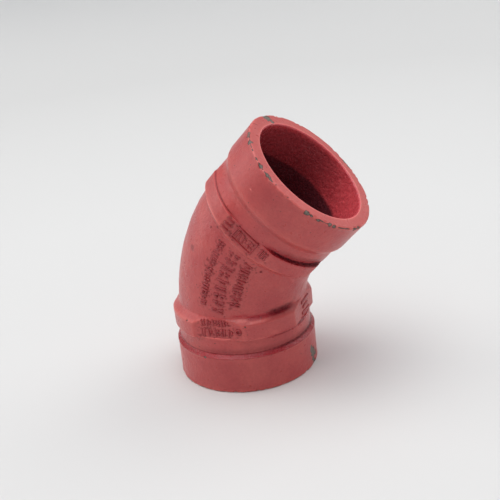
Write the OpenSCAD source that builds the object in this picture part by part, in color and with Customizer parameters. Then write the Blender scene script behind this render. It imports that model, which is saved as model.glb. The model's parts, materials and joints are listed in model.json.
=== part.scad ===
// Grooved-end 45 degree pipe elbow, short centre-to-end pattern, cast in ductile iron.
//
// The real elbow is one casting. It is built here from the regions that a foundry drawing
// names: at each end a gasket seat, a coupling groove and a square-sided collar, then the
// bend between the two collars, and the raised mould marks. Each region is a solid of its
// own, and neighbours meet face to face.
//
// Frame: millimetres. The origin is the centre of the lower end face, +Z runs up the lower
// end's axis, and the elbow bends towards +X. The upper end is the lower end mirrored in the
// plane that halves the bend.

/* [Pipe size] */
// Outside diameter of both pipe ends
pipe_od = 60.3; // [57:0.1:64]
// Diameter of the waterway in both straight ends
bore_d = 49.3; // [46:0.1:50]
// How much narrower the waterway is round the bend, where the two sand cores were joined
core_step = 0.2; // [0.1:0.1:1]
// Distance from an end face to the corner where the two end axes cross
centre_to_end = 51.5; // [50:0.1:60]
// Angle between the two end axes
bend_angle = 45; // [40:1:50]

/* [Grooved ends] */
// Length of the smooth band that the coupling gasket seals on
seat_length = 15.88; // [15.2:0.01:16.6]
// Width of the groove that the coupling keys sit in
groove_width = 7.95; // [7.2:0.01:8.7]
// Diameter of the groove's floor
groove_d = 57.15; // [56.4:0.05:58]
// Axial length of the groove's sloping wall on the seat side
groove_slope = 1.3; // [0.5:0.1:2]
// Small chamfer on the outer edges of the seat
edge_chamfer = 0.5; // [0.2:0.1:1]
// Chamfer at the mouth of the waterway
mouth_chamfer = 0.4; // [0.2:0.1:1]

/* [Collars] */
// Diameter across the collar's rounded corners
collar_d = 60.8; // [60.2:0.1:62]
// Distance across the collar's flat sides
collar_flats = 56.4; // [56.2:0.1:57]
// Height above the end face where the collar starts to fall towards the bend
collar_shoulder_z = 30.4; // [29:0.1:31.5]
// Height above the end face where the collar ends and the bend begins
collar_end_z = 35.2; // [34:0.1:36]
// Radius of the collar's sloping shoulder where the bend begins
shoulder_foot_r = 26.4; // [26:0.1:27]

/* [Bend] */
// Outside diameter of the tube between the collars
tube_od = 55; // [54.4:0.1:55.2]
// Height above the end face where the tube starts to curve
bend_start = 27; // [25:0.5:30]

/* [Raised marks] */
// Height of the raised marks above the metal around them
mark_height = 0.6; // [0.3:0.1:1]
// Width of each raised stroke
stroke_w = 0.7; // [0.5:0.1:0.8]
// Distance from one raised mark to the next
mark_pitch = 2.5; // [2.4:0.1:4]

/* [Hidden] */
$fn = 256;

paint_red = [0.70, 0.25, 0.25];
mark_red = [0.62, 0.20, 0.21];

pipe_r = pipe_od / 2;
bore_r = bore_d / 2;
bend_bore_r = bore_r - core_step / 2;
groove_r = groove_d / 2;
groove_end_z = seat_length + groove_width;
collar_r = collar_d / 2;
flat_r = collar_flats / 2;
tube_r = tube_od / 2;

// Radius of the tube's curved centreline, from the corner that both end axes share.
bend_r = (centre_to_end - bend_start) / tan(bend_angle / 2);

// Far larger than the elbow, for the blocks that cut regions apart.
reach = 200;

// How far a mark's blank starts inside the tube, before the tube is cut out of it.
mark_root = 1;

// How far each of a mark's two strokes stands from the mark's middle.
stroke_offset = 0.55;

// Azimuths round the tube: 0 is the inside of the bend and -90 is the marked side.
outer_column_azimuth = -104;
middle_column_azimuth = -89.5;
inner_column_azimuth = -75;

// Mirrors its children from the lower end to the upper end.
module at_upper_end() {
    translate([0, 0, centre_to_end])
        mirror([sin(bend_angle), 0, 1 + cos(bend_angle)])
            translate([0, 0, -centre_to_end])
                children();
}

// The curved part of a tube of radius r along the elbow's centreline.
module curved_tube(r) {
    translate([bend_r, 0, bend_start])
        rotate([90, 0, 0])
            rotate([0, 0, 180 - bend_angle])
                rotate_extrude(angle = bend_angle)
                    translate([bend_r, 0])
                        circle(r = r);
}

// Everything on the lower end's side of a height, as a cutting block.
module below(z) {
    translate([-reach / 2, -reach / 2, z - reach]) cube(reach);
}

// Gasket seat: a plain band of full pipe size with broken edges.
module gasket_seat() {
    rotate_extrude()
        polygon([
            [bore_r + mouth_chamfer, 0],
            [pipe_r - edge_chamfer, 0],
            [pipe_r, edge_chamfer],
            [pipe_r, seat_length],
            [bore_r, seat_length],
            [bore_r, mouth_chamfer]
        ]);
}

// Groove neck: a sloping wall below the seat, then the groove's floor.
module groove_neck() {
    rotate_extrude()
        polygon([
            [bore_r, seat_length],
            [pipe_r, seat_length],
            [groove_r, seat_length + groove_slope],
            [groove_r, groove_end_z],
            [bore_r, groove_end_z]
        ]);
}

// Outline of the collar: round at its four corners, flat on its four sides.
module collar_ridge() {
    intersection() {
        rotate_extrude()
            polygon([
                [0, groove_end_z],
                [collar_r, groove_end_z],
                [collar_r, collar_shoulder_z],
                [shoulder_foot_r, collar_end_z],
                [0, collar_end_z]
            ]);
        translate([-flat_r, -flat_r, groove_end_z])
            cube([collar_flats, collar_flats, collar_end_z - groove_end_z]);
    }
}

// Collar: the ridge, with the start of the bend's tube coming out of it.
module collar() {
    difference() {
        union() {
            collar_ridge();
            difference() {
                curved_tube(tube_r);
                translate([-reach / 2, -reach / 2, collar_end_z]) cube(reach);
            }
        }
        translate([0, 0, groove_end_z - 1]) cylinder(h = bend_start - groove_end_z + 1, r = bore_r);
        curved_tube(bend_bore_r);
    }
}

// One raised mark as a flat outline: a long bar beside a long bar, a short bar or two dots.
module mark_outline(size, index) {
    translate([-stroke_offset, 0]) square([stroke_w, size], center = true);
    translate([stroke_offset, 0])
        if (index % 3 == 2)
            for (side = [-1, 1])
                translate([0, side * size / 4]) circle(d = stroke_w * 1.4);
        else
            square([stroke_w, index % 3 == 0 ? size : size * 0.5], center = true);
}

// Places its children on the tube's surface, +Z outwards and +Y round the tube.
module on_tube(angle_along, azimuth) {
    translate([bend_r, 0, bend_start])
        rotate([0, angle_along, 0])
            translate([-bend_r, 0, 0])
                rotate([0, 0, azimuth])
                    rotate([0, 90, 0])
                        children();
}

// A column of raised marks that follows the bend at one azimuth.
module mark_column(azimuth, first_angle, last_angle, size, pitch) {
    arc = (last_angle - first_angle) * PI / 180 * (bend_r - tube_r * cos(azimuth));
    steps = floor(arc / pitch);
    difference() {
        for (i = [0 : steps])
            on_tube(first_angle + i * (last_angle - first_angle) / steps, azimuth)
                translate([0, 0, tube_r - mark_root])
                    linear_extrude(height = mark_root + mark_height)
                        mark_outline(size, i);
        curved_tube(tube_r);
    }
}

// Places its children on the marked flat of the lower collar: +X along it, +Y up it.
module on_marked_flat() {
    translate([0, -flat_r, 0]) rotate([90, 0, 0]) children();
}

// A level row of raised marks on a flat side.
module mark_row(left_x, right_x, z, size) {
    steps = floor((right_x - left_x) / mark_pitch);
    for (i = [0 : steps])
        translate([left_x + i * (right_x - left_x) / steps, z])
            mark_outline(size, i);
}

// A thin upright frame, as round a size panel.
module panel_frame(width, height, line) {
    difference() {
        square([width, height], center = true);
        square([width - 2 * line, height - 2 * line], center = true);
    }
}

module lower_gasket_seat() {
    color(paint_red) gasket_seat();
}

module lower_groove_neck() {
    color(paint_red) groove_neck();
}

module lower_collar() {
    color(paint_red) collar();
}

// Bend: the tube between the collars, cut at both collar ends.
module bend_body() {
    color(paint_red)
        difference() {
            curved_tube(tube_r);
            curved_tube(bend_bore_r);
            below(collar_end_z);
            at_upper_end() below(collar_end_z);
        }
}

module upper_collar() {
    color(paint_red) at_upper_end() collar();
}

module upper_groove_neck() {
    color(paint_red) at_upper_end() groove_neck();
}

module upper_gasket_seat() {
    color(paint_red) at_upper_end() gasket_seat();
}

module outer_mark_column() {
    color(mark_red) mark_column(outer_column_azimuth, 11.2, 36.2, 3, mark_pitch);
}

module middle_mark_column() {
    color(mark_red) mark_column(middle_column_azimuth, 9.4, 35.6, 5, mark_pitch * 1.2);
}

module inner_mark_column() {
    color(mark_red) mark_column(inner_column_azimuth, 13.5, 34.5, 4, mark_pitch);
}

// Two rows of marks and a ring on the lower collar's marked side.
module lower_flat_marks() {
    color(mark_red)
        on_marked_flat()
            linear_extrude(height = mark_height) {
                mark_row(-6.2, 4, 31.1, 2.8);
                mark_row(-6.4, 5.6, 26.8, 3.6);
                translate([9.3, 27.8]) difference() {
                    circle(d = 2.4);
                    circle(d = 1.2);
                }
            }
}

// A framed panel and short bars on the upper collar's marked side.
module upper_flat_marks() {
    color(mark_red)
        at_upper_end()
            on_marked_flat()
                linear_extrude(height = mark_height) {
                    translate([0, 27.7]) panel_frame(10.4, 6.2, 0.6);
                    for (i = [0 : 2])
                        translate([3 * i - 3, 27.7]) mark_outline(3.6, i);
                    for (i = [0 : 2])
                        translate([-9, 25.4 + 2.2 * i]) square([3.2, 0.8], center = true);
                    for (i = [0 : 2])
                        translate([7.8 + 1.3 * i, 26.8]) square([0.7, 3.2], center = true);
                }
}

// A column of bars on the collar's flat side inside the bend.
module inner_flat_marks() {
    color(mark_red)
        for (i = [0 : 2])
            translate([flat_r, 1.5, 25.4 + 2.5 * i])
                rotate([0, 90, 0])
                    linear_extrude(height = mark_height)
                        square([1, 9 - 3 * (i % 2)], center = true);
}

lower_gasket_seat();
lower_groove_neck();
lower_collar();
bend_body();
upper_collar();
upper_groove_neck();
upper_gasket_seat();
outer_mark_column();
middle_mark_column();
inner_mark_column();
lower_flat_marks();
upper_flat_marks();
inner_flat_marks();
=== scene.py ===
import json
import math

import bpy
import numpy as np
from mathutils import Matrix, Vector
from mathutils.kdtree import KDTree


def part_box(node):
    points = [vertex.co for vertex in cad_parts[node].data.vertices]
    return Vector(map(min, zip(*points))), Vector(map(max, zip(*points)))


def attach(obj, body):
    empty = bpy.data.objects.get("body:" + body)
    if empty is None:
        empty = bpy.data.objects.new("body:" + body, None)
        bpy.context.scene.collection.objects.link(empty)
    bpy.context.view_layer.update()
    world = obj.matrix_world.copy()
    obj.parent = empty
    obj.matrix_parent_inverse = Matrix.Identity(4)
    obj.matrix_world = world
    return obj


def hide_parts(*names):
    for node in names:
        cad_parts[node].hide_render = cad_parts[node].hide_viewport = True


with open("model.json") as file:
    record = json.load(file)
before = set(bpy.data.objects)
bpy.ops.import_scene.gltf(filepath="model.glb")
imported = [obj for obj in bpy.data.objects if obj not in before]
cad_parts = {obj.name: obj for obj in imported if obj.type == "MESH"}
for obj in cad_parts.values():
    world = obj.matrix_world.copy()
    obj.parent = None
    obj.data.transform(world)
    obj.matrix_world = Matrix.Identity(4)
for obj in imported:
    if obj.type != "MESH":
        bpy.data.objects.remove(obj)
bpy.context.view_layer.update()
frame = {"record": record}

# ---------------------------------------------------------------- sizes from the frame
MM = 0.001
MOUNTS = {mount["name"]: mount for mount in frame["record"]["mounts"]}


def node_top(node):
    """Height of a CAD node's highest point."""
    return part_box(node)[1].z / MM


PIPE_R = MOUNTS["lower_pipe_end"]["dims"]["r_mm"]
BORE_R = MOUNTS["lower_bore"]["dims"]["r_mm"]
MOUTH_CHAMFER = MOUNTS["lower_bore"]["pos_m"][2] / MM
SEAT_END = node_top("lower_gasket_seat")
GROOVE_END = node_top("lower_groove_neck")
COLLAR_END = node_top("lower_collar")

UPPER_AXIS = np.array(MOUNTS["upper_face"]["axis"])
BEND = math.atan2(UPPER_AXIS[0], UPPER_AXIS[2])
CENTRE_TO_END = MOUNTS["upper_face"]["pos_m"][0] / MM / math.sin(BEND)
BEND_START = MOUNTS["lower_bore"]["dims"]["length_mm"] + MOUTH_CHAMFER
BEND_R = (CENTRE_TO_END - BEND_START) / math.tan(BEND / 2)
LENGTH = 2 * BEND_START + BEND_R * BEND
UPPER_CENTRE = np.array([math.sin(BEND), 0, 1 + math.cos(BEND)]) * CENTRE_TO_END
UPPER_ACROSS = np.array([math.cos(BEND), 0, -math.sin(BEND)])

# ---------------------------------------------------------------- sizes of the cast shape
EDGE_ROUND = 0.87                  # radius of the worn outer edge at each mouth
GROOVE_R = 28.575                  # radius of the coupling groove's floor
GROOVE_WALL_FALL = 1.21            # how fast the groove's seat-side wall falls, mm per mm
STEEP = 7.0                        # the same for the nearly upright collar-side wall
CORNER_R = 30.2                    # radius of the collar's rounded corners
FLAT_R = 28.0                      # distance from the axis to the collar's flats
SHOULDER_Z = 30.6                  # where the collar starts to fall towards the bend
SHOULDER_FALL = 1.0                # how fast it falls, mm per mm
TUBE_R = 27.5                      # outer radius of the bend's tube
TUBE_FILLET = 0.45                 # fillet where the tube comes out of the collar
LOWER_SEAT_BLEND = 0.35            # rounding at the top of the lower seat, which is crisp
UPPER_SEAT_BLEND = 2.4             # the same at the upper end, where it is nearly smooth
SHARP_SEAT = 1.0                   # a seat whose blend is below this has a raised lip
LIP_HEIGHT = 0.14                  # height of that lip
WIDEST_FOOT_BLEND = 1.4            # most rounding at the foot of the groove's wall
UPPER_GROOVE_FILL = 1.0            # metal run up the upper groove, at the marked outer corner
REGION_BORDER = COLLAR_END + 1.3   # where a collar's piece is cut from the bend's piece
RADIUS_SEARCH = (20.0, 34.0)       # the skin's radius lies between these
RADIUS_HALVINGS = 26               # how often that range is halved to find it

MACHINED_CUT = 0.17                # how far a machined seat lies below the pipe size
NICK_DEPTH = 0.3                   # depth of the nicks in the mouths' outer edges
CHIP_DEPTH = 0.16                  # how far bare metal lies below the enamel

AROUND = 512                       # points in each ring of the skin
AZIMUTHS = np.linspace(-math.pi, math.pi, AROUND, endpoint=False)
FACE_RINGS = 9                     # rings across each end face
BORE_STEP = 0.38                   # distance between the waterway's rings


# ---------------------------------------------------------------- smooth noise and blends
def smooth_max(a, b, blend):
    """The larger of two lengths, with a fillet where they cross."""
    overlap = np.clip(blend - np.abs(a - b), 0, None)
    return np.maximum(a, b) + overlap**2 / (4 * blend)


def smooth_min(a, b, blend):
    """The smaller of two lengths, with a rounded edge where they cross."""
    return -smooth_max(-a, -b, blend)


def fade(value, low, high):
    """0 below low, 1 above high, and a smooth step between them."""
    t = np.clip((value - low) / (high - low), 0, 1)
    return t * t * (3 - 2 * t)


def in_window(value, low, high, soft):
    """1 inside a range and 0 outside it, with soft edges."""
    return fade(value, low - soft, low + soft) * (1 - fade(value, high - soft, high + soft))


HASH_PRIMES = (73856093, 19349663, 83492791)


def lumps(points, size, seed):
    """Smooth noise from -1 to 1 over points, with lumps about that size."""
    place = points / size + seed * 13.7
    cell = np.floor(place).astype(np.int64)
    inside = place - cell
    weight = inside**3 * (inside * (inside * 6 - 15) + 10)
    total = np.zeros(points.shape[:-1])
    for corner in np.ndindex(2, 2, 2):
        at = (cell + corner) * HASH_PRIMES
        mixed = at[..., 0] ^ at[..., 1] ^ at[..., 2] ^ (seed * 2654435)
        mixed = (mixed ^ (mixed >> 13)) * 1274126177
        value = ((mixed ^ (mixed >> 16)) & 0xFFFF) / 32767.5 - 1
        total += value * np.prod(np.where(corner, weight, 1 - weight), axis=-1)
    return total


# ---------------------------------------------------------------- the elbow's centreline
def along_centreline(s):
    """Centre, and direction of azimuth 0, of the cross-section a length s from the lower face."""
    angle = np.clip((s - BEND_START) / BEND_R, 0, BEND)
    past = np.clip(s - BEND_START - BEND_R * BEND, 0, None)
    x = BEND_R * (1 - np.cos(angle)) + past * math.sin(BEND)
    z = np.minimum(s, BEND_START) + BEND_R * np.sin(angle) + past * math.cos(BEND)
    centre = np.stack([x, np.zeros_like(x), z], axis=-1)
    across = np.stack([np.cos(angle), np.zeros_like(x), -np.sin(angle)], axis=-1)
    return centre, across


def skin_point(s, azimuth, radius):
    """Points a radius from the centreline, at lengths s along it and azimuths round it."""
    centre, across = along_centreline(s)
    side = np.array([0.0, 1.0, 0.0])
    outwards = across * np.cos(azimuth)[..., None] + side * np.sin(azimuth)[..., None]
    return centre + outwards * radius[..., None]


# ---------------------------------------------------------------- the cast shape of an end
def end_radius(z, azimuth, seat_blend, fill):
    """Outer radius of an end, a height z above its face: seat, groove and square collar.

    seat_blend rounds the seat's edge over the groove. fill is how far metal has run up the
    groove's collar side, on the marked outer corner.
    """
    into_edge = np.clip(EDGE_ROUND - z, 0, EDGE_ROUND)
    edge = PIPE_R - EDGE_ROUND + np.sqrt(EDGE_ROUND**2 - into_edge**2)
    lip = LIP_HEIGHT * in_window(z, SEAT_END - 0.75, SEAT_END + 0.2, 0.25)
    lip = lip * (seat_blend < SHARP_SEAT)
    seat = smooth_min(edge, PIPE_R - (z - SEAT_END) * GROOVE_WALL_FALL, seat_blend) + lip
    floor = smooth_min(GROOVE_R + 0 * z, GROOVE_R - (z - GROOVE_END - 0.1) * STEEP, 0.4)
    quarter = math.pi / 2
    off_flat = azimuth - quarter * np.round(azimuth / quarter)
    square = smooth_min(CORNER_R + 0 * z, FLAT_R / np.cos(off_flat), 0.25)
    shoulder = CORNER_R - (z - SHOULDER_Z) * SHOULDER_FALL
    wall = GROOVE_R + (z - GROOVE_END + 0.1) * STEEP
    corner = in_window(np.degrees(azimuth), -165, -112, 8)
    floor = floor + fill * corner * fade(z, GROOVE_END - 4.5, GROOVE_END)
    collar = smooth_min(smooth_min(square, shoulder, 0.4), wall, 0.5)
    foot_blend = min(seat_blend * 0.8, WIDEST_FOOT_BLEND)
    return smooth_max(smooth_max(seat, floor, foot_blend), collar, 0.2)


def half_radius(s, azimuth, seat_blend, fill):
    """Outer radius from a face to mid-bend, where tilted cross-sections cut the collar."""
    low, high = (np.full(s.shape, radius) for radius in RADIUS_SEARCH)
    for _ in range(RADIUS_HALVINGS):
        middle = (low + high) / 2
        point = skin_point(s, azimuth, middle)
        reach = np.hypot(point[..., 0], point[..., 1])
        turn = np.arctan2(point[..., 1], point[..., 0])
        inside = reach < end_radius(point[..., 2], turn, seat_blend, fill)
        low, high = np.where(inside, middle, low), np.where(inside, high, middle)
    return smooth_max(low, TUBE_R + 0 * s, TUBE_FILLET)


def outer_stations():
    """Lengths along the centreline of the outer skin's rings, closest where the shape turns."""
    stretches = [
        (0, EDGE_ROUND, 6), (EDGE_ROUND, SEAT_END - 0.5, 38), (SEAT_END - 0.5, SEAT_END, 4),
        (SEAT_END, SEAT_END + 1.7, 10), (SEAT_END + 1.7, GROOVE_END - 0.4, 15),
        (GROOVE_END - 0.4, GROOVE_END, 6), (GROOVE_END, GROOVE_END + 0.6, 8),
        (GROOVE_END + 0.6, SHOULDER_Z - 1, 18), (SHOULDER_Z - 1, REGION_BORDER, 30),
        (REGION_BORDER, LENGTH / 2, 42),
    ]
    half = np.concatenate([np.linspace(a, b, n, endpoint=False) for a, b, n in stretches])
    return np.concatenate([half, [LENGTH / 2], LENGTH - half[::-1]])


# ---------------------------------------------------------------- wear, painted shade and painted highlights on the skin
ALL_ROUND = (-200, 200, 1)


def at_end(upper, z, azimuth, radius):
    """The point of an end a height z from its face, at an azimuth in degrees and a radius."""
    angle = math.radians(azimuth)
    local = np.array([radius * math.cos(angle), radius * math.sin(angle), z])
    if not upper:
        return local
    side = np.array([0.0, 1.0, 0.0])
    return UPPER_CENTRE + UPPER_ACROSS * local[0] + side * local[1] - UPPER_AXIS * z


def chipped(points):
    """How bare the metal is at each point: 0.5 is the torn edge of the paint."""
    # Each chip: at the upper end or not, height from the face, azimuth, radius, and size.
    spots = [
        (True, 0, 167, 29.6, 1.7), (True, 0, 164.5, 28.0, 1.5), (True, 0, 162, 26.2, 1.2),
        (True, 0.4, -155, 30.1, 0.9), (True, 0.8, -152, 30.1, 0.8), (True, 0.3, -143, 30, 1.0),
        (True, 0.2, -125, 29.9, 0.6), (True, 0.2, -119, 29.9, 1.0), (True, 0.2, -110, 29.9, 1.1),
        (True, 0.1, -107, 29.6, 0.9), (True, 0.4, -70, 30.1, 1.0), (True, 0.5, -66, 30.1, 0.8),
        (True, 0.3, -59, 30.1, 1.0), (True, 0.4, -49, 30.1, 0.9), (True, 0.6, -45, 30.1, 0.8),
        (True, 0.6, -20, 30.1, 0.8), (True, 0.4, -15, 30.1, 0.9), (True, 0.1, 70, 29.5, 1.3),
        (True, 0.1, 75, 29.6, 1.4), (True, 0.1, 81, 29.6, 1.3),
        (False, 7.6, -1, 30.1, 1.6), (False, 5.8, 1, 30.1, 1.9), (False, 4.2, 6, 30.1, 1.6),
        (False, 1.3, 2, 30.1, 1.3), (False, 2.8, 0, 30.1, 1.4),
        (False, 15.3, -131, 30.1, 0.5), (False, 15.5, -103, 30, 0.5), (False, 0.3, -130, 30, 0.5),
        (False, 30.3, -118, 29.8, 0.5), (False, 30, -66, 29.6, 0.6), (False, 24.1, -150, 29.9, 0.6),
        (False, 0.5, 110, 30, 1.2), (False, 0.4, 118, 30, 0.8), (False, 15.4, 165, 30, 0.9),
        (True, 0.4, 128, 30, 0.9), (True, 15.5, 172, 30, 0.8), (False, 29.9, 152, 29.9, 0.7),
    ]
    ragged = 0.6 * lumps(points, 1.5, 5) + 0.25 * lumps(points, 0.7, 6)
    bare = np.zeros(points.shape[:-1])
    for upper, z, azimuth, radius, size in spots:
        distance = np.linalg.norm(points - at_end(upper, z, azimuth, radius), axis=-1)
        bare = np.maximum(bare, 0.5 + (size - distance + size * ragged) / 0.8)
    return np.clip(bare, 0, 1)


def grid_normals(points):
    """Unit normals of a closed grid of points, rings by azimuths."""
    along = np.roll(points, -1, axis=0) - np.roll(points, 1, axis=0)
    around = np.roll(points, -1, axis=1) - np.roll(points, 1, axis=1)
    normal = np.cross(around, along)
    return normal / np.linalg.norm(normal, axis=-1, keepdims=True)


def hollowness(points, normals):
    """How far each point lies below the skin round it: above 0 in a crease, below 0 on an edge."""
    total = np.zeros(points.shape)
    steps = [(3, 0), (-3, 0), (5, 0), (-5, 0), (0, 3), (0, -3), (0, 5), (0, -5)]
    for ring, turn in steps:
        total += np.roll(points, (ring, turn), axis=(0, 1))
    return np.sum((total / len(steps) - points) * normals, axis=-1)


def end_place(points, upper):
    """Height above an end's face and azimuth in degrees of each point."""
    if upper:
        local = points - UPPER_CENTRE
        x, z = local @ UPPER_ACROSS, -(local @ UPPER_AXIS)
    else:
        x, z = points[..., 0], points[..., 2]
    return z, np.degrees(np.arctan2(points[..., 1], x))


def mark_distance(points, marks):
    """Distance from each point to the nearest raised mark, up to 9 mm."""
    tree = KDTree(len(marks))
    for index, point in enumerate(marks):
        tree.insert(point, index)
    tree.balance()
    distance = np.full(points.shape[:-1], 9.0)
    low, high = marks.min(axis=0) - 3, marks.max(axis=0) + 3
    for place in np.argwhere(np.all((points > low) & (points < high), axis=-1)):
        distance[tuple(place)] = tree.find(points[tuple(place)])[2]
    return distance


def marked_places(points, places):
    """The strongest of several places at each point.

    A place is its strength, its end, the lowest and highest z and how soft they are, and the
    first and last azimuth and how soft they are.
    """
    at = {"lower": end_place(points, False), "upper": end_place(points, True)}
    strongest = np.zeros(points.shape[:-1])
    for strength, end, low, high, soft, first, last, turn_soft in places:
        z, turn = at[end]
        place = in_window(z, low, high, soft) * in_window(turn, first, last, turn_soft)
        strongest = np.maximum(strongest, strength * place)
    return strongest


def crevice_shade(points, hollow, marks):
    """Painted shade: how dark the enamel is painted in creases, groove corners, on the shadowed
    shoulder, on stretches of the seats and round the foot of the marks, with real dark pits near the
    marks and the spots on the bend.
    """
    lower_end = end_place(points, False)[0] < GROOVE_END + 1
    # Painted shade in the creases, at full strength only at the lower end.
    shade = 0.5 * fade(hollow, 0.04, 0.25) * np.where(lower_end, 1, 0.2)
    # Painted shade at listed places: the groove corners and groove floors at both ends, the seat edges,
    # the shadowed shoulder of the lower collar, and broad stretches of both seats.
    dark = marked_places(points, [
        (1.1, "upper", GROOVE_END - 0.7, GROOVE_END + 0.1, 0.2, -71, -16, 7),
        (0.42, "upper", GROOVE_END - 3, GROOVE_END - 0.9, 1.2, -62, -16, 9),
        (0.7, "upper", GROOVE_END - 0.4, GROOVE_END, 0.15, -175, -112, 6),
        (0.2, "upper", SEAT_END + 0.4, SEAT_END + 1.8, 0.7, -118, -60, 8),
        (0.13, "upper", 2, 12, 2, -116, -84, 10),
        (0.8, "lower", SEAT_END + 1.2, SEAT_END + 1.55, 0.2, *ALL_ROUND),
        (0.9, "lower", SEAT_END + 0.9, SEAT_END + 1.9, 0.3, -48, 60, 14),
        (0.45, "lower", SEAT_END - 0.35, SEAT_END + 0.05, 0.15, *ALL_ROUND),
        (0.28, "lower", SEAT_END + 0.1, SEAT_END + 1.2, 0.2, *ALL_ROUND),
        (0.13, "lower", 1, 14, 2, -110, -40, 20),
        (0.36, "lower", SEAT_END + 1.2, SEAT_END + 3.4, 1.3, -105, 40, 20),
        (0.8, "lower", GROOVE_END - 1.2, GROOVE_END, 0.4, -42, -4, 8),
        (0.9, "lower", SHOULDER_Z + 1.4, 34.6, 0.8, -45, -21, 6),
        (0.3, "lower", SHOULDER_Z + 1.7, 33.2, 0.3, -64, -42, 6),
    ])
    distance = mark_distance(points, marks)
    broken = 0.6 + 0.4 * np.clip(lumps(points, 1.4, 12) + 0.4, -1, 1)
    # Painted shade round the foot of each raised mark, broken up by noise.
    mark_foot_shade = 0.75 * broken * (1 - fade(distance, 0.1, 0.45))
    pits = 0.6 * fade(lumps(points, 0.9, 13), 0.5, 0.65) * (1 - fade(distance, 0.8, 2.6))
    return np.max([shade, dark, mark_foot_shade, pits, bend_spots(points)], axis=0)


def bend_spots(points):
    """A dull smudge and four dark dots on the bend."""
    # Each spot: angle along the bend, azimuth, size and darkness.
    spots = [(26.5, -130, 1.3, 0.5), (37.6, -120.6, 0.5, 0.8), (39.6, -115.2, 0.5, 0.8),
             (34.9, -63.4, 0.55, 0.8), (33.5, -66.5, 0.4, 0.6)]
    dark = np.zeros(points.shape[:-1])
    for angle, azimuth, size, darkness in spots:
        s = np.array(BEND_START + math.radians(angle) * BEND_R)
        middle = skin_point(s, np.array(math.radians(azimuth)), np.array(TUBE_R))
        distance = np.linalg.norm(points - middle, axis=-1) + 0.35 * size * lumps(points, 0.9, 16)
        dark = np.maximum(dark, darkness * (1 - fade(distance, size * 0.7, size * 1.25)))
    return dark


def pooling_and_shade_places(points):
    """Deeper, glossier red: enamel run together at the lower seat's edge, and painted shade on the
    lower collar's shoulder and in the groove corners by both collars.
    """
    return marked_places(points, [
        (1.0, "lower", SEAT_END - 0.2, SEAT_END + 1.2, 0.25, *ALL_ROUND),
        (0.9, "lower", 32.0, 33.8, 0.4, -64, -20, 4),
        (0.8, "lower", 33.4, 34.6, 0.4, -76, -62, 4),
        (0.6, "lower", GROOVE_END - 1.6, GROOVE_END + 0.6, 0.5, -50, 20, 8),
        (0.7, "upper", GROOVE_END - 1.8, GROOVE_END + 0.8, 0.5, -75, 20, 8),
        (0.25, "upper", GROOVE_END - 0.8, GROOVE_END + 0.4, 0.3, -170, -75, 6),
    ])


def painted_highlights(points):
    """Painted highlights: how pale each edge is painted, where the light catches rounded enamel."""
    return marked_places(points, [
        (0.33, "lower", 30.9, 31.9, 0.3, -64, -46, 4),
        (0.33, "lower", 31.7, 32.9, 0.3, -73, -62, 3),
        (0.45, "lower", GROOVE_END + 0.1, GROOVE_END + 0.5, 0.15, -103, -78, 3),
        (0.36, "lower", SEAT_END + 0.8, SEAT_END + 1.0, 0.12, -120, -50, 12),
        (0.34, "upper", GROOVE_END + 0.15, GROOVE_END + 0.45, 0.12, -170, -108, 6),
        (0.48, "upper", SHOULDER_Z - 0.4, SHOULDER_Z + 0.1, 0.2, -155, -112, 8),
        (0.12, "upper", -1, 0.4, 0.2, *ALL_ROUND),
        (0.45, "upper", 0.1, 0.7, 0.2, -149, -141, 2),
        (0.5, "upper", 9.3, 9.9, 0.2, -113, -111, 0.6),
    ])


def rim_wear(points):
    """A thin broken line of bare metal round the outer edge of the upper mouth."""
    z, turn = end_place(points, True)
    line = in_window(z, 0.05, 0.5, 0.12) * in_window(turn, -160, -8, 6)
    outer = np.linalg.norm(np.cross(points - UPPER_CENTRE, UPPER_AXIS), axis=-1) > PIPE_R - 1
    torn = lumps(points, 2.6, 10) + 0.5 * lumps(points, 0.9, 11) + 0.25 * (turn < -98)
    return 0.66 * line * outer * fade(torn, 0, 0.25)


# ---------------------------------------------------------------- the casting's closed skin
def smooth_skin():
    """Length along the centreline and radius of every ring, and the rings where zones change."""
    outside = outer_stations()
    half = outside[: len(outside) // 2 + 1, None] + 0 * AZIMUTHS
    lower = half_radius(half, AZIMUTHS + 0 * half, LOWER_SEAT_BLEND, 0.0)
    upper = half_radius(half, AZIMUTHS + 0 * half, UPPER_SEAT_BLEND, UPPER_GROOVE_FILL)
    outer_r = np.concatenate([lower, upper[-2::-1]])

    face_r = np.linspace(outer_r[0, 0], BORE_R + MOUTH_CHAMFER, FACE_RINGS + 2)[1:-1]
    inside = np.linspace(0, LENGTH, int(LENGTH / BORE_STEP))[::-1]
    from_mouth = np.minimum(inside, LENGTH - inside)
    bore_r = BORE_R + np.clip(MOUTH_CHAMFER - from_mouth, 0, None)

    s = np.concatenate([outside, LENGTH + 0 * face_r, inside, 0 * face_r])
    radius = np.concatenate([
        outer_r, face_r[:, None] + 0 * AZIMUTHS,
        bore_r[:, None] + 0 * AZIMUTHS, face_r[::-1, None] + 0 * AZIMUTHS,
    ])
    rings = len(outside), len(outside) + FACE_RINGS, len(s) - FACE_RINGS
    return s, radius, rings


def cast_relief(points, end_z, on_outside):
    """How far the outside stands off the smooth shape: waves, machined seats and edge nicks."""
    machined = 1 - fade(end_z, SEAT_END, GROOVE_END)
    wave = 0.16 * lumps(points, 14, 1) + 0.07 * lumps(points, 5, 2) + 0.03 * lumps(points, 1.6, 3)
    cast = wave * (1 - 0.7 * machined) - MACHINED_CUT * machined
    at_face = 1 - fade(end_z, 0.5, 2)
    cast = cast * (1 - at_face) - np.abs(wave) * 0.3 * at_face
    nick = NICK_DEPTH * fade(lumps(points, 1.5, 15), 0.1, 0.6) * (1 - fade(end_z, 0.9, 1.6))
    return cast - nick * on_outside


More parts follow.
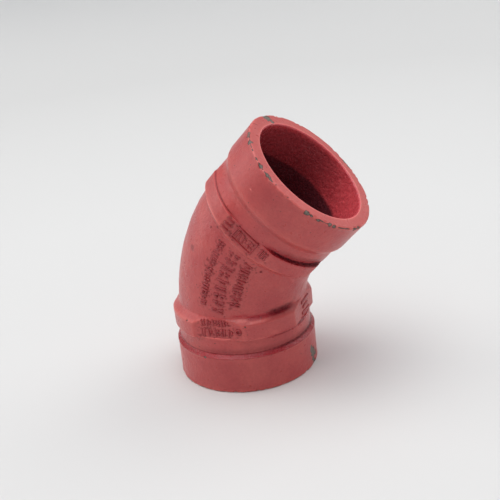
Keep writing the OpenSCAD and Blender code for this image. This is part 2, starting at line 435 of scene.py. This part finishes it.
def sand_relief(points, end_z):
    """How far the waterway's coarse sand texture stands off the smooth shape."""
    sand = 0.08 * lumps(points, 1.1, 7) + 0.05 * lumps(points, 0.6, 8) + 0.05 * lumps(points, 4, 9)
    return sand * fade(end_z, MOUTH_CHAMFER, MOUTH_CHAMFER + 1.5)


def bore_shade(points, end_z):
    """Painted shade in the waterway: darker past the seats, and along one side."""
    deep = fade(end_z + 0.5 * lumps(points, 5, 14), SEAT_END - 0.9, SEAT_END + 1.2)
    shaded_side = fade(np.cos(AZIMUTHS - math.radians(140)), -0.1, 0.8)
    return np.maximum(deep, 0.55 * shaded_side * fade(end_z, 0.5, 3))


def casting_skin(marks):
    """The whole casting as one closed grid: outside, upper face, waterway, lower face."""
    s, radius, rings = smooth_skin()
    s_grid = s[:, None] + 0 * AZIMUTHS
    points = skin_point(s_grid, AZIMUTHS + 0 * s_grid, radius)
    normals = grid_normals(points)
    index = np.arange(len(s))[:, None] + 0 * AZIMUTHS
    in_bore = (index >= rings[1]) & (index < rings[2])
    end_z = np.minimum(s_grid, LENGTH - s_grid)

    bare = np.maximum(chipped(points), rim_wear(points)) * ~in_bore
    # Painted highlights are carried as negative hollowness.
    hollow = np.minimum(hollowness(points, normals), -painted_highlights(points))
    shade = np.where(in_bore, bore_shade(points, end_z), crevice_shade(points, hollow, marks))
    relief = np.where(in_bore, sand_relief(points, end_z), cast_relief(points, end_z, index < rings[0]))
    points = points + normals * (relief - CHIP_DEPTH * fade(bare, 0.3, 0.7))[..., None]
    return {
        "s": s, "rings": rings, "points": points, "normals": grid_normals(points),
        "bare": bare, "hollow": hollow, "shade": shade,
        "pooling_and_shade": pooling_and_shade_places(points), "in_bore": in_bore,
    }


def closed_grid(first, last, count):
    """Corner numbers of the quads between ring first and ring last, and so on round the ring."""
    ring = np.arange(first, last)[:, None] * count
    turn = np.arange(count)[None, :]
    after = (turn + 1) % count
    quads = np.stack([ring + turn, ring + after, ring + count + after, ring + count + turn], axis=-1)
    return quads.reshape(-1, 4)


def fill_mesh(mesh, points, quads):
    """Puts points, in millimetres, and quads into an empty mesh."""
    mesh.vertices.add(len(points))
    mesh.vertices.foreach_set("co", (points * MM).astype(np.float32).ravel())
    mesh.loops.add(quads.size)
    mesh.loops.foreach_set("vertex_index", quads.astype(np.int32).ravel())
    mesh.polygons.add(len(quads))
    mesh.polygons.foreach_set("loop_start", np.arange(0, quads.size, 4, dtype=np.int32))
    mesh.update(calc_edges=True)
    mesh.validate()


def add_piece(name, mesh, replaced):
    """Adds a mesh as a piece of the object that stands for a CAD node."""
    piece = bpy.data.objects.new(name, mesh)
    bpy.context.scene.collection.objects.link(piece)
    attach(piece, "root")
    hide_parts(replaced)
    return piece


def region_rings(skin, start, end):
    """The skin's rings that bound the region between two lengths along the centreline."""
    s = skin["s"]
    outer_end, bore_start, bore_end = skin["rings"]

    def nearest(first, last, length):
        """Of the rings from first to last, the one nearest a length along the centreline."""
        return first + int(np.argmin(np.abs(s[first:last] - length)))

    outer = list(range(nearest(0, outer_end, start), nearest(0, outer_end, end) + 1))
    bore = list(range(nearest(bore_start, bore_end, end), nearest(bore_start, bore_end, start) + 1))
    upper_face = list(range(outer_end, bore_start)) if end >= LENGTH else []
    lower_face = list(range(bore_end, len(s))) if start <= 0 else []
    return np.array(outer + upper_face + bore + lower_face)


def region_quads(ring_count):
    """The quads between a region's rings, and between its last ring and its first."""
    last_ring = (ring_count - 1) * AROUND
    turn = np.arange(AROUND)
    after = (turn + 1) % AROUND
    closing = np.stack([last_ring + turn, last_ring + after, after, turn], axis=-1)
    return np.concatenate([closed_grid(0, ring_count - 1, AROUND), closing])


def region_normals(points, normals, quads, cut_wall):
    """Normals at each quad's corners: the skin's, but flat on the walls where it was cut."""
    p = points[quads]
    flat = np.cross(p[:, 2] - p[:, 0], p[:, 3] - p[:, 1])
    flat /= np.linalg.norm(flat, axis=-1, keepdims=True) + 1e-12
    return np.where(cut_wall[:, None, None], flat[:, None, :], normals[quads])


def region_piece(skin, node, start, end):
    """One region of the casting, between two lengths along the centreline, as a closed solid."""
    chosen = region_rings(skin, start, end)
    points = skin["points"][chosen].reshape(-1, 3)
    normals = skin["normals"][chosen].reshape(-1, 3)
    quads = region_quads(len(chosen))
    mesh = bpy.data.meshes.new(node)
    fill_mesh(mesh, points, quads)

    ring_of = quads // AROUND
    jump = np.abs(chosen[ring_of.max(axis=1)] - chosen[ring_of.min(axis=1)])
    cut_wall = (jump > 1) & (jump < len(skin["s"]) - 1)
    corner_normals = region_normals(points, normals, quads, cut_wall)
    mesh.polygons.foreach_set("use_smooth", np.ones(len(quads), dtype=bool))
    mesh.normals_split_custom_set(corner_normals.reshape(-1, 3))

    for name in ("bare", "hollow", "shade", "pooling_and_shade"):
        values = skin[name][chosen].ravel().astype(np.float32)
        mesh.attributes.new(name, "FLOAT", "POINT").data.foreach_set("value", values)
    mesh.materials.append(MATERIALS["enamel"])
    mesh.materials.append(MATERIALS["bore"])
    bore_ring = skin["in_bore"][chosen, 0]
    in_bore = bore_ring[ring_of.min(axis=1)] & bore_ring[ring_of.max(axis=1)] & ~cut_wall
    mesh.polygons.foreach_set("material_index", in_bore.astype(np.int32))
    return add_piece(node + "_skin", mesh, node)


# ---------------------------------------------------------------- raised mould marks
MARK_HEIGHT = 0.55      # height of the tallest strokes
STROKE = 0.34           # half the width of a stroke
DOT = 0.46              # radius of a dot
STROKE_OFFSET = 0.6     # from a mark's middle to each of its two strokes
MARK_PITCH = 2.5        # from one mark to the next
STROKE_CORNERS = 20     # points round a stroke's outline
# A stroke's outlines from its root to its top: how much wider, and the share of its height.
STROKE_RINGS = [(0.12, -0.9), (0.10, 0.0), (0.02, 0.45), (-0.1, 0.85), (-0.24, 1.0)]


def on_bend(azimuth):
    """Places mark points on the bend: u round the tube, v along it from the lower end."""
    def place(u, v, height):
        turn = math.radians(azimuth) + u / TUBE_R
        return skin_point(BEND_START + v * BEND_R / bend_reach(azimuth), turn, TUBE_R + height)
    return place


def bend_reach(azimuth):
    """Distance from the bend's centre to the tube's surface at an azimuth in degrees."""
    return BEND_R - TUBE_R * math.cos(math.radians(azimuth))


def on_flat(upper, side):
    """Places mark points on a collar's flat side: u along it and v up from the end's face."""
    def place(u, v, height):
        out = FLAT_R + height
        x, y = (u, -out) if side == "marked" else (out, u)
        if not upper:
            return np.stack([x, y, v], axis=-1)
        x, y, v = x[..., None], y[..., None], v[..., None]
        return UPPER_CENTRE + UPPER_ACROSS * x + np.array([0.0, 1.0, 0.0]) * y - UPPER_AXIS * v
    return place


def stroke(place, u, v, half_u, half_v, turn=0.0, rise_share=1.0):
    """A raised stroke with round ends and a soft top: rings of points from its root to its top."""
    long_half, half = max(half_u, half_v), min(half_u, half_v)
    corners = STROKE_CORNERS
    angle = np.linspace(0, 2 * math.pi, corners, endpoint=False) + math.pi / corners
    straight = (long_half - half) * np.sign(np.cos(angle))
    outline = []
    for grow, rise in STROKE_RINGS:
        across = (half + grow) * np.sin(angle)
        length = straight + (half + grow) * np.cos(angle)
        outline.append(np.stack([length, across, np.full(corners, rise)], axis=-1))
    local = np.array(outline)
    if half_v > half_u:
        local = local[..., [1, 0, 2]] * (1, -1, 1)
    cos, sin = math.cos(turn), math.sin(turn)
    local_u = u + local[..., 0] * cos - local[..., 1] * sin
    local_v = v + local[..., 0] * sin + local[..., 1] * cos
    return place(local_u, local_v, local[..., 2] * MARK_HEIGHT * rise_share)


def mark(place, u, v, size, index, upright, rng):
    """One mark, a little uneven: a long bar beside a long bar, a short bar or two dots."""
    parts = [(-STROKE_OFFSET, 0, size / 2, STROKE)]
    if index % 3 == 2:
        parts += [(STROKE_OFFSET, -size / 4, DOT, DOT), (STROKE_OFFSET, size / 4, DOT, DOT)]
    else:
        parts.append((STROKE_OFFSET, 0, size / 2 if index % 3 == 0 else size / 4, STROKE))
    if rng.random() < 0.45:
        parts[0] = (-STROKE_OFFSET, -size * 0.29, size * 0.2, STROKE)
        parts.append((-STROKE_OFFSET, size * 0.27, size * 0.22, STROKE))
    strokes = []
    for beside, along, long_half, wide_half in parts:
        beside, along = beside + rng.uniform(-0.08, 0.08), along + rng.uniform(-0.15, 0.15)
        long_half, rise = long_half * rng.uniform(0.85, 1.05), rng.uniform(0.5, 1)
        tilt = rng.uniform(-0.24, 0.24)
        if upright:
            place_u, place_v, sizes_uv = u + beside, v + along, (wide_half, long_half)
        else:
            place_u, place_v, sizes_uv = u + along, v - beside, (long_half, wide_half)
        strokes.append(stroke(place, place_u, place_v, *sizes_uv, tilt, rise))
    return strokes


def mark_column(azimuth, first, last, size, pitch, seed):
    """Marks in a column along the bend, a little uneven as cast marks are."""
    rng = np.random.default_rng(seed)
    start, end = (math.radians(angle) * bend_reach(azimuth) for angle in (first, last))
    strokes = []
    for index, v in enumerate(np.linspace(start, end, int((end - start) / pitch) + 1)):
        strokes += mark(on_bend(azimuth), rng.uniform(-0.2, 0.2), v, size, index, False, rng)
    return strokes


def mark_row(place, left, right, v, size, seed):
    """A level row of marks on a flat side."""
    rng = np.random.default_rng(seed)
    strokes = []
    for index, u in enumerate(np.linspace(left, right, int((right - left) / MARK_PITCH) + 1)):
        strokes += mark(place, u, v + rng.uniform(-0.15, 0.15), size, index, True, rng)
    return strokes


def lower_flat_strokes():
    """Two rows of marks and a ring."""
    flat = on_flat(False, "marked")
    strokes = mark_row(flat, -6.2, 4, 31.1, 2.8, 4) + mark_row(flat, -6.4, 5.6, 26.8, 3.6, 5)
    for angle in np.arange(0, 2 * math.pi, math.pi / 4):
        u, v = 9.3 + 0.9 * math.cos(angle), 27.8 + 0.9 * math.sin(angle)
        strokes.append(stroke(flat, u, v, 0.5, 0.3, angle + math.pi / 2))
    return strokes


def upper_flat_strokes():
    """A framed panel of marks with short bars on both sides of it."""
    flat = on_flat(True, "marked")
    middle, half_width, half_height, line = 27.7, 4.9, 2.8, 0.3
    strokes, rng = [], np.random.default_rng(6)
    for side in (-1, 1):
        strokes.append(stroke(flat, 0, middle + side * half_height, half_width + line, line))
        strokes.append(stroke(flat, side * half_width, middle, line, half_height + line))
    for index in range(3):
        strokes += mark(flat, 3 * index - 3, middle, 3.6, index, True, rng)
        strokes.append(stroke(flat, -9, 25.4 + 2.2 * index, 1.6, 0.4))
        strokes.append(stroke(flat, 7.8 + 1.3 * index, 26.8, STROKE, 1.6))
    return strokes


def inner_flat_strokes():
    """Bars on the flat side inside the bend."""
    flat = on_flat(False, "inner")
    rng = np.random.default_rng(7)
    return [
        stroke(flat, 1.5, 25.4 + 2.5 * i, 4.5 - 1.5 * (i % 2), 0.5, rng.uniform(-0.2, 0.1), 0.55)
        for i in range(3)
    ]


def marks_by_node():
    """The strokes of every node of raised marks."""
    return {
        "outer_mark_column": mark_column(-104, 11.2, 36.2, 3, MARK_PITCH, 1),
        "middle_mark_column": mark_column(-89.5, 9.4, 35.6, 5, MARK_PITCH * 1.2, 2),
        "inner_mark_column": mark_column(-75, 13.5, 34.5, 4, MARK_PITCH, 3),
        "lower_flat_marks": lower_flat_strokes(),
        "upper_flat_marks": upper_flat_strokes(),
        "inner_flat_marks": inner_flat_strokes(),
    }


def mark_piece(node, strokes):
    """A node's strokes as one piece, each stroke a closed solid."""
    points, faces, base = [], [], 0
    for rings in strokes:
        count, corners = rings.shape[:2]
        top = base + (count - 1) * corners
        points.append(rings.reshape(-1, 3))
        faces += (closed_grid(0, count - 1, corners) + base).tolist()
        faces.append(list(range(base + corners - 1, base - 1, -1)))
        faces.append(list(range(top, top + corners)))
        base += count * corners
    mesh = bpy.data.meshes.new(node)
    mesh.from_pydata((np.concatenate(points) * MM).tolist(), [], faces)
    mesh.validate()
    mesh.polygons.foreach_set("use_smooth", np.ones(len(mesh.polygons), dtype=bool))
    mesh.materials.append(MATERIALS["marks"])
    return add_piece(node + "_raised", mesh, node)


# ---------------------------------------------------------------- materials
class Painter:
    """A material's node tree, with short calls for the nodes used here."""

    def __init__(self, name):
        self.material = bpy.data.materials.new(name)
        self.material.use_nodes = True
        self.nodes = self.material.node_tree.nodes
        self.links = self.material.node_tree.links
        self.surface = self.nodes["Principled BSDF"]
        self.place = self.nodes.new("ShaderNodeTexCoord").outputs["Object"]

    def feed(self, socket, value):
        """Sets a socket to a number or colour, or links another node's output to it."""
        if isinstance(value, bpy.types.NodeSocket):
            self.links.new(value, socket)
        else:
            socket.default_value = value

    def noise(self, size, detail=2.0, roughness=0.5, shift=0.0):
        """Noise from 0 to 1 with lumps about size millimetres across."""
        node = self.nodes.new("ShaderNodeTexNoise")
        node.noise_dimensions = "4D"
        self.feed(node.inputs["Vector"], self.place)
        self.feed(node.inputs["W"], shift)
        self.feed(node.inputs["Scale"], 1 / (size * MM))
        self.feed(node.inputs["Detail"], detail)
        self.feed(node.inputs["Roughness"], roughness)
        return node.outputs["Fac"]

    def cells(self, size):
        """Distance to the nearest of points scattered about size millimetres apart."""
        node = self.nodes.new("ShaderNodeTexVoronoi")
        self.feed(node.inputs["Vector"], self.place)
        self.feed(node.inputs["Scale"], 1 / (size * MM))
        return node.outputs["Distance"]

    def attribute(self, name):
        """A value stored on the mesh."""
        node = self.nodes.new("ShaderNodeAttribute")
        node.attribute_name = name
        return node.outputs["Fac"]

    def math(self, operation, a, b=0.0):
        """One sum on two values."""
        node = self.nodes.new("ShaderNodeMath")
        node.operation = operation
        self.feed(node.inputs[0], a)
        self.feed(node.inputs[1], b)
        return node.outputs[0]

    def between(self, value, low, high, out_low=0.0, out_high=1.0):
        """Maps low..high to out_low..out_high, held at both ends."""
        node = self.nodes.new("ShaderNodeMapRange")
        self.feed(node.inputs["Value"], value)
        self.feed(node.inputs["From Min"], low)
        self.feed(node.inputs["From Max"], high)
        self.feed(node.inputs["To Min"], out_low)
        self.feed(node.inputs["To Max"], out_high)
        return node.outputs["Result"]

    def blend(self, factor, a, b):
        """Mixes colour a towards colour b."""
        node = self.nodes.new("ShaderNodeMix")
        node.data_type = "RGBA"
        self.feed(node.inputs["Factor"], factor)
        self.feed(node.inputs["A"], a)
        self.feed(node.inputs["B"], b)
        return node.outputs["Result"]

    def bump(self, height, depth, under=None):
        """Bump whose full height is depth millimetres, over another bump."""
        node = self.nodes.new("ShaderNodeBump")
        self.feed(node.inputs["Strength"], 1.0)
        self.feed(node.inputs["Distance"], depth * MM)
        self.feed(node.inputs["Height"], height)
        if under is not None:
            self.feed(node.inputs["Normal"], under)
        return node.outputs["Normal"]

    def finish(self, colour, roughness, normal):
        """Links the three results to the surface."""
        self.feed(self.surface.inputs["Base Color"], colour)
        self.feed(self.surface.inputs["Roughness"], roughness)
        self.feed(self.surface.inputs["Normal"], normal)
        return self.material


RED = (0.49, 0.059, 0.061, 1)
RED_LIGHT = (0.66, 0.12, 0.10, 1)
RED_DEEP = (0.32, 0.026, 0.032, 1)
RED_POOLING_AND_SHADE = (0.46, 0.012, 0.022, 1)
RED_SHADE_AND_SPOTS = (0.07, 0.004, 0.009, 1)
RED_PAINTED_HIGHLIGHT = (0.88, 0.20, 0.185, 1)
# Painted shade: the raised marks get a darker copy of the enamel.
MARK_RED = (0.34, 0.028, 0.034, 1)
MARK_LIGHT = (0.50, 0.055, 0.058, 1)
RED_BORE = (0.70, 0.085, 0.098, 1)
BORE_DARK = (0.53, 0.042, 0.058, 1)
BORE_DEEP = (0.13, 0.022, 0.03, 1)
IRON = (0.052, 0.038, 0.031, 1)
IRON_PALE = (0.20, 0.165, 0.135, 1)
SPECK = (0.10, 0.03, 0.025, 1)


def enamel_material(name, red, light, sheen, grain):
    """Red enamel over rough iron: uneven colour, painted shade in creases, painted highlights on edges,
    specks and chips.
    """
    paint = Painter(name)
    mottle = paint.between(paint.noise(11, 3), 0.35, 0.7, 0.0, 0.45)
    colour = paint.blend(mottle, red, light)
    fine = paint.between(paint.noise(1.1, 4, 0.65, 3), 0.45, 0.8, 0.0, 0.4)
    colour = paint.blend(fine, colour, RED_DEEP)
    hollow = paint.attribute("hollow")
    # Painted highlight: edges, where the hollowness is below 0, painted lighter.
    colour = paint.blend(paint.between(hollow, -0.03, -0.2, 0.0, 0.6), colour, RED_LIGHT)
    # Deeper red where the enamel ran together at the lower seat, and painted shade on the shoulder and
    # in groove corners.
    pooling_and_shade = paint.math("MULTIPLY", paint.attribute("pooling_and_shade"), paint.between(fine, 0.5, 0.0, 0.75, 1.0))
    colour = paint.blend(pooling_and_shade, colour, RED_POOLING_AND_SHADE)
    # Painted highlights, paler still, on the most rounded edges and at listed places.
    colour = paint.blend(paint.between(hollow, -0.24, -0.45), colour, RED_PAINTED_HIGHLIGHT)
    # Painted shade, together with real dark pits and spots, darkens the colour where the shade
    # attribute is high.
    uneven = paint.between(paint.noise(1.0, 3, 0.6, 20), 0.35, 0.65, 0.6, 1.0)
    shade = paint.math("MULTIPLY", paint.attribute("shade"), uneven)
    colour = paint.blend(shade, colour, RED_SHADE_AND_SPOTS)
    rare = paint.between(paint.noise(3.2, 2, 0.5, 8), 0.56, 0.62)
    speck = paint.math("MULTIPLY", paint.between(paint.cells(1.7), 0.17, 0.10), rare)
    colour = paint.blend(speck, colour, SPECK)

    ragged = paint.between(paint.noise(0.7, 3, 0.6, 5), 0.25, 0.75, -0.22, 0.22)
    torn = paint.math("ADD", paint.attribute("bare"), ragged)
    bare = paint.between(torn, 0.5, 0.58)
    inner = paint.between(torn, 0.55, 1.0, -0.25, 0.25)
    grey = paint.math("ADD", paint.noise(0.8, 3, 0.6, 6), inner)
    metal = paint.blend(paint.between(grey, 0.38, 0.78), IRON, IRON_PALE)
    colour = paint.blend(bare, colour, metal)

    roughness = paint.between(paint.noise(2.4, 3, 0.6, 11), 0.3, 0.7, sheen, sheen + 0.14)
    roughness = paint.math("ADD", roughness, paint.math("MULTIPLY", bare, 0.25))
    roughness = paint.math("SUBTRACT", roughness, paint.math("MULTIPLY", pooling_and_shade, 0.06))
    paint.feed(paint.surface.inputs["Specular IOR Level"], paint.between(shade, 0.1, 0.8, 0.5, 0.12))
    normal = paint.bump(paint.noise(2.6, 3, 0.6, 12), 0.30 * grain)
    normal = paint.bump(paint.noise(0.9, 4, 0.65, 13), 0.20 * grain, normal)
    normal = paint.bump(bare, -0.08, normal)
    return paint.finish(colour, roughness, normal)


def bore_material():
    """Glossy enamel on the coarse sand texture of the waterway, with painted shade past the seat and
    along one side.
    """
    paint = Painter("bore_enamel")
    colour = paint.blend(paint.between(paint.noise(1.2, 3, 0.6, 2), 0.4, 0.75), RED_BORE, BORE_DARK)
    # Painted shade deep in the waterway and along one side.
    colour = paint.blend(paint.attribute("shade"), colour, BORE_DEEP)
    roughness = paint.between(paint.noise(1.6, 2, 0.5, 4), 0.3, 0.7, 0.17, 0.33)
    normal = paint.bump(paint.noise(1.1, 3, 0.6, 14), 0.34)
    normal = paint.bump(paint.noise(0.55, 2, 0.5, 15), 0.2, normal)
    return paint.finish(colour, roughness, normal)


def floor_material():
    """A plain pale studio sweep, with painted shade: a little greyer far from the object."""
    paint = Painter("studio_floor")
    distance = paint.nodes.new("ShaderNodeVectorMath")
    distance.operation = "LENGTH"
    paint.feed(distance.inputs[0], paint.place)
    # Painted shade: greyer with distance from the object, as the light falls off.
    far = paint.between(distance.outputs["Value"], 0.22, 0.7)
    shade = paint.blend(far, (0.713, 0.70, 0.683, 1), (0.637, 0.625, 0.609, 1))
    paint.surface.inputs["Specular IOR Level"].default_value = 0.2
    paint.feed(paint.surface.inputs["Base Color"], shade)
    paint.feed(paint.surface.inputs["Roughness"], 0.7)
    return paint.material


MATERIALS = {
    "enamel": enamel_material("red_enamel", RED, RED_LIGHT, 0.26, 1.0),
    "marks": enamel_material("red_enamel_marks", MARK_RED, MARK_LIGHT, 0.32, 0.6),
    "bore": bore_material(),
    "floor": floor_material(),
}


# ---------------------------------------------------------------- studio
def add_floor():
    """A pale round floor that curves up far beyond the view."""
    flat_r, curve_r, corners = 1.9, 1.2, 96
    turn = np.linspace(0, 2 * math.pi, corners, endpoint=False)
    rise = np.linspace(0, math.pi / 2, 13)
    radii = np.concatenate([[0.3, 0.8, 1.4], flat_r + curve_r * np.sin(rise)])
    heights = np.concatenate([[0, 0, 0], curve_r * (1 - np.cos(rise))])
    ring = np.stack([np.cos(turn), np.sin(turn), 0 * turn], axis=-1)
    points = [(0, 0, 0)]
    for radius, height in zip(radii, heights):
        points += (ring * radius + [0, 0, height]).tolist()
    faces = [(0, 1 + i, 1 + (i + 1) % corners) for i in range(corners)]
    faces += (closed_grid(0, len(radii) - 1, corners)[:, ::-1] + 1).tolist()
    mesh = bpy.data.meshes.new("floor")
    mesh.from_pydata(points, [], faces)
    mesh.polygons.foreach_set("use_smooth", np.ones(len(mesh.polygons), dtype=bool))
    mesh.materials.append(MATERIALS["floor"])
    floor = bpy.data.objects.new("floor", mesh)
    bpy.context.scene.collection.objects.link(floor)


def add_panel(name, place, target, size, power, colour):
    """A square soft light that faces the target."""
    light = bpy.data.lights.new(name, "AREA")
    light.shape = "SQUARE"
    light.size = size
    light.energy = power
    light.color = colour
    panel = bpy.data.objects.new(name, light)
    panel.location = place
    panel.rotation_euler = (Vector(target) - Vector(place)).to_track_quat("-Z", "Y").to_euler()
    bpy.context.scene.collection.objects.link(panel)


def add_sky():
    """A tent that is bright overhead and dim at the horizon."""
    world = bpy.data.worlds.new("tent")
    bpy.context.scene.world = world
    world.use_nodes = True
    nodes, links = world.node_tree.nodes, world.node_tree.links
    height = nodes.new("ShaderNodeSeparateXYZ")
    links.new(nodes.new("ShaderNodeTexCoord").outputs["Generated"], height.inputs["Vector"])
    steps = nodes.new("ShaderNodeMapRange")
    steps.interpolation_type = "SMOOTHSTEP"
    for socket, value in (("From Min", 0.55), ("From Max", 1.0), ("To Min", 0.10), ("To Max", 1.45)):
        steps.inputs[socket].default_value = value
    links.new(height.outputs["Z"], steps.inputs["Value"])
    links.new(steps.outputs["Result"], nodes["Background"].inputs["Strength"])
    nodes["Background"].inputs["Color"].default_value = (0.92, 0.97, 1.04, 1)


def add_lights():
    """Soft panels: a key high on the left, a low one on the left and one behind on the right."""
    aim = (0.01, 0, 0.05)
    add_panel("key", (-0.45, -0.3, 2.4), aim, 2.2, 26, (1, 0.985, 0.955))
    add_panel("left", (-2.0, -0.25, 0.9), aim, 1.4, 10, (1, 0.985, 0.965))
    add_panel("back_right", (1.3, 1.5, 1.8), aim, 1.8, 17, (1, 0.99, 0.98))


def add_camera():
    """The camera, a long lens above and to the right of the marked side."""
    camera = bpy.data.cameras.new("camera")
    camera.sensor_width = 36
    camera.lens = 65.34
    camera.clip_end = 50
    eye = bpy.data.objects.new("camera", camera)
    heading, elevation, roll = (math.radians(a) for a in (24.23, 21.58, -6.65))
    turn = Matrix.Rotation(heading, 4, "Z") @ Matrix.Rotation(math.pi / 2 - elevation, 4, "X")
    place = Matrix.Translation((0.15234, -0.32503, 0.19324))
    eye.matrix_world = place @ turn @ Matrix.Rotation(roll, 4, "Z")
    bpy.context.scene.collection.objects.link(eye)
    bpy.context.scene.camera = eye


# ---------------------------------------------------------------- the scene
def add_casting(marks):
    """Every region of the casting, cut from one skin. marks are points on the raised marks."""
    skin = casting_skin(marks)
    borders = [0, SEAT_END, GROOVE_END, REGION_BORDER]
    borders += [LENGTH - border for border in reversed(borders)]
    nodes = ["lower_gasket_seat", "lower_groove_neck", "lower_collar", "bend_body",
             "upper_collar", "upper_groove_neck", "upper_gasket_seat"]
    for node, start, end in zip(nodes, borders, borders[1:]):
        region_piece(skin, node, start, end)


bpy.context.scene.view_settings.view_transform = "Standard"
all_strokes = marks_by_node()
add_casting(np.concatenate([s[1] for strokes in all_strokes.values() for s in strokes]))
for node, strokes in all_strokes.items():
    mark_piece(node, strokes)
add_floor()
add_sky()
add_lights()
add_camera()
